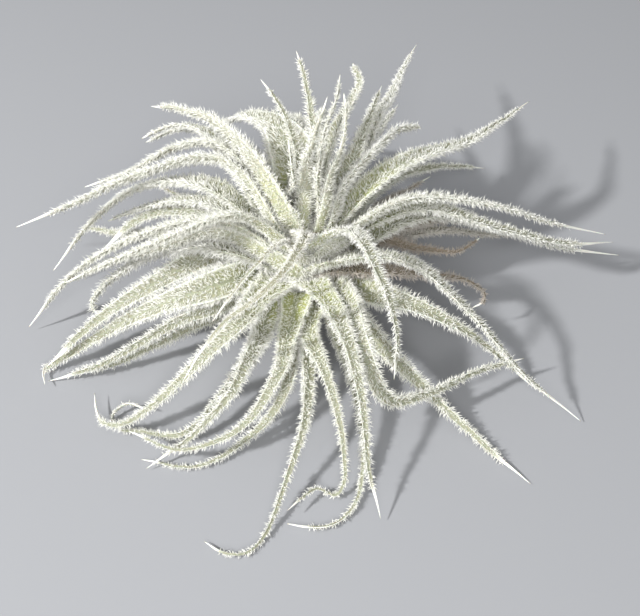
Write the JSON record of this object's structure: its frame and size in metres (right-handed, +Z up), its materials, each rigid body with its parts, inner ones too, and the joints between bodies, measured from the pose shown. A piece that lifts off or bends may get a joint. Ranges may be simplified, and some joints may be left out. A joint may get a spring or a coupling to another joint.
{
  "type": "air plant",
  "caption": "Spreading rosette of narrow, channelled, arching leaves, densely covered in pale hairs, round a short stem with a flat foot; lies on any flat surface.",
  "frame": {"origin": "centre of the stem's flat foot, on the surface that the plant lies on", "axes": "+Z up along the stem, -Y towards the front of the pictured side, +X to its right"},
  "size_m": [0.1843, 0.1861, 0.0722],
  "materials": {
    "leaf": "pale sage blade under a dense coat of matt ivory hairs",
    "stem": "matt, straw-brown old leaf bases"
  },
  "bodies": {
    "root": {"stem": "stem", "leaf_front_low_1": "leaf", "leaf_left_low_1": "leaf", "leaf_right_low_1": "leaf", "leaf_back_low_1": "leaf", "leaf_front_low_2": "leaf", "leaf_front_low_3": "leaf", "leaf_back_low_2": "leaf", "leaf_front_low_4": "leaf", "leaf_front_low_5": "leaf", "leaf_right_low_2": "leaf", "leaf_front_low_6": "leaf", "leaf_left_low_2": "leaf", "leaf_left_low_3": "leaf", "leaf_front_mid_1": "leaf", "leaf_front_mid_2": "leaf", "leaf_right_mid_1": "leaf", "leaf_left_mid_1": "leaf", "leaf_right_mid_2": "leaf", "leaf_front_mid_3": "leaf", "leaf_right_mid_3": "leaf", "leaf_right_mid_4": "leaf", "leaf_back_mid_1": "leaf", "leaf_left_mid_2": "leaf", "leaf_right_mid_5": "leaf", "leaf_left_mid_3": "leaf", "leaf_left_mid_4": "leaf", "leaf_right_high_1": "leaf", "leaf_left_high_1": "leaf", "leaf_left_high_2": "leaf", "leaf_right_high_2": "leaf", "leaf_back_high_1": "leaf", "leaf_right_high_3": "leaf", "leaf_left_high_3": "leaf", "leaf_left_high_4": "leaf", "leaf_back_high_2": "leaf", "leaf_back_high_3": "leaf", "leaf_back_high_4": "leaf", "leaf_back_high_5": "leaf", "leaf_back_high_6": "leaf", "leaf_left_high_5": "leaf", "leaf_right_high_4": "leaf", "leaf_left_high_6": "leaf", "leaf_front_high_1": "leaf", "leaf_front_high_2": "leaf", "leaf_crown_1": "leaf", "leaf_crown_2": "leaf", "leaf_crown_3": "leaf", "leaf_crown_4": "leaf", "leaf_front_high_3": "leaf", "leaf_crown_5": "leaf", "leaf_crown_6": "leaf", "leaf_front_high_4": "leaf", "leaf_crown_7": "leaf", "leaf_crown_8": "leaf", "leaf_crown_9": "leaf", "leaf_crown_10": "leaf", "leaf_crown_11": "leaf", "leaf_crown_12": "leaf"}
  },
  "joints": []
}
